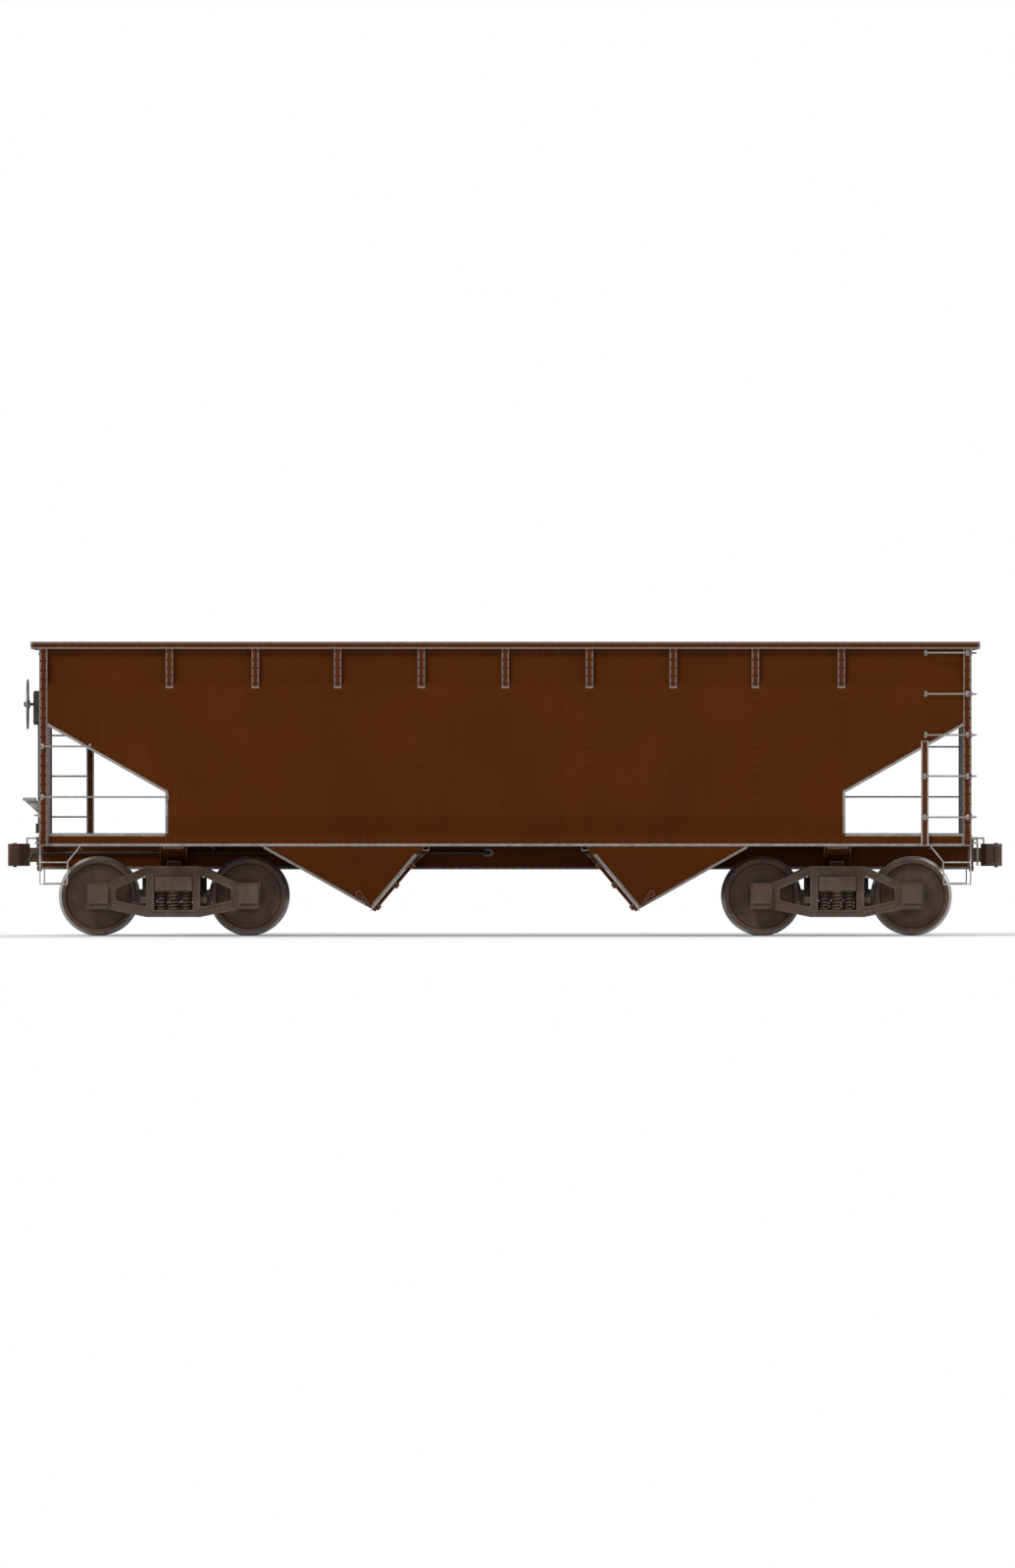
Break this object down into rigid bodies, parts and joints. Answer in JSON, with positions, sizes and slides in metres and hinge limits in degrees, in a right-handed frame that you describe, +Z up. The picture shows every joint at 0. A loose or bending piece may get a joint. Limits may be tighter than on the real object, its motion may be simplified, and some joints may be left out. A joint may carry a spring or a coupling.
{
  "type": "open hopper wagon",
  "caption": "Open-top bogie hopper wagon with offset sides, sloping ends, bottom discharge doors and cast side-frame trucks.",
  "frame": {"origin": "on the floor under the wagon's middle, where the wheel flanges stand", "axes": "+X along the wagon towards its plain end, +Y across it, +Z up"},
  "size_m": [11.108, 3.216, 3.2764],
  "materials": {
    "body_paint": "satin brown paint, worn to grey steel on the edges",
    "grab_steel": "worn grey steel",
    "truck_cast": "dark oxidised casting",
    "wheel_steel": "rusted wheel with a bright tread",
    "axle_steel": "dark rusted forging",
    "coupler_cast": "bare rusted casting",
    "spring_steel": "dark spring steel",
    "brake_iron": "black painted iron"
  },
  "bodies": {
    "car_body": {"air_reservoir": "brake_iron", "body_bolsters": "body_paint", "body_posts": "body_paint", "brake_cylinder": "brake_iron", "brake_pipe": "brake_iron", "brake_step": "grab_steel", "centre_sill": "body_paint", "chute_walls": "body_paint", "coupler_a": "coupler_cast", "coupler_b": "coupler_cast", "cross_ridge": "body_paint", "door_hinges": "body_paint", "door_locks": "body_paint", "draft_gears": "coupler_cast", "end_chords": "body_paint", "end_sills": "body_paint", "grab_irons": "grab_steel", "hand_brake_gear": "brake_iron", "header_beams": "body_paint", "jacking_pads": "body_paint", "ladders": "grab_steel", "side_chords": "body_paint", "side_sheet_left": "body_paint", "side_sheet_right": "body_paint", "side_sills": "body_paint", "side_stakes": "body_paint", "sill_hoods": "body_paint", "sill_steps": "grab_steel", "slope_sheet_a": "body_paint", "slope_sheet_b": "body_paint", "slope_supports": "body_paint", "strikers": "coupler_cast", "uncoupling_levers": "grab_steel"},
    "truck_a": {"truck_a_bolster": "truck_cast", "truck_a_brake_rigging": "brake_iron", "truck_a_side_frames": "truck_cast", "truck_a_springs": "spring_steel"},
    "wheelset_a1": {"axle_a1": "axle_steel", "wheels_a1": "wheel_steel"},
    "wheelset_a2": {"axle_a2": "axle_steel", "wheels_a2": "wheel_steel"},
    "door_a_left": {"door_a_left": "body_paint"},
    "door_a_right": {"door_a_right": "body_paint"},
    "knuckle_a": {"knuckle_a": "coupler_cast"},
    "truck_b": {"truck_b_bolster": "truck_cast", "truck_b_brake_rigging": "brake_iron", "truck_b_side_frames": "truck_cast", "truck_b_springs": "spring_steel"},
    "wheelset_b1": {"axle_b1": "axle_steel", "wheels_b1": "wheel_steel"},
    "wheelset_b2": {"axle_b2": "axle_steel", "wheels_b2": "wheel_steel"},
    "door_b_left": {"door_b_left": "body_paint"},
    "door_b_right": {"door_b_right": "body_paint"},
    "knuckle_b": {"knuckle_b": "coupler_cast"},
    "brake_wheel": {"brake_wheel": "grab_steel"}
  },
  "joints": [
    {"name": "truck_a_swivel", "type": "hinge", "parent": "car_body", "child": "truck_a", "pos_m": [3.696, 0, 0.7134], "axis": [0, 0, 1], "range_deg": [-10, 10]},
    {"name": "wheelset_a1_roll", "type": "hinge", "parent": "truck_a", "child": "wheelset_a1", "pos_m": [4.534, 0, 0.4444], "axis": [0, 1, 0], "continuous": true},
    {"name": "wheelset_a2_roll", "type": "hinge", "parent": "truck_a", "child": "wheelset_a2", "pos_m": [2.858, 0, 0.4444], "axis": [0, 1, 0], "continuous": true},
    {"name": "door_a_left_drop", "type": "hinge", "parent": "car_body", "child": "door_a_left", "pos_m": [0.93648, 0, 0.90165], "axis": [0, 1, 0], "range_deg": [0, 60]},
    {"name": "door_a_right_drop", "type": "hinge", "parent": "car_body", "child": "door_a_right", "pos_m": [0.93648, 0, 0.90165], "axis": [0, 1, 0], "range_deg": [0, 60]},
    {"name": "knuckle_a_open", "type": "hinge", "parent": "car_body", "child": "knuckle_a", "pos_m": [5.482, -0.115, 0.9014], "axis": [0, 0, -1], "range_deg": [0, 45]},
    {"name": "truck_b_swivel", "type": "hinge", "parent": "car_body", "child": "truck_b", "pos_m": [-3.696, 0, 0.7134], "axis": [0, 0, 1], "range_deg": [-10, 10]},
    {"name": "wheelset_b1_roll", "type": "hinge", "parent": "truck_b", "child": "wheelset_b1", "pos_m": [-4.534, 0, 0.4444], "axis": [0, 1, 0], "continuous": true},
    {"name": "wheelset_b2_roll", "type": "hinge", "parent": "truck_b", "child": "wheelset_b2", "pos_m": [-2.858, 0, 0.4444], "axis": [0, 1, 0], "continuous": true},
    {"name": "door_b_left_drop", "type": "hinge", "parent": "car_body", "child": "door_b_left", "pos_m": [-0.93648, 0, 0.90165], "axis": [0, -1, 0], "range_deg": [0, 60]},
    {"name": "door_b_right_drop", "type": "hinge", "parent": "car_body", "child": "door_b_right", "pos_m": [-0.93648, 0, 0.90165], "axis": [0, -1, 0], "range_deg": [0, 60]},
    {"name": "knuckle_b_open", "type": "hinge", "parent": "car_body", "child": "knuckle_b", "pos_m": [-5.482, 0.115, 0.9014], "axis": [0, 0, -1], "range_deg": [0, 45]},
    {"name": "brake_wheel_turn", "type": "hinge", "parent": "car_body", "child": "brake_wheel", "pos_m": [-5.347, 0.52, 2.5854], "axis": [1, 0, 0], "continuous": true}
  ]
}
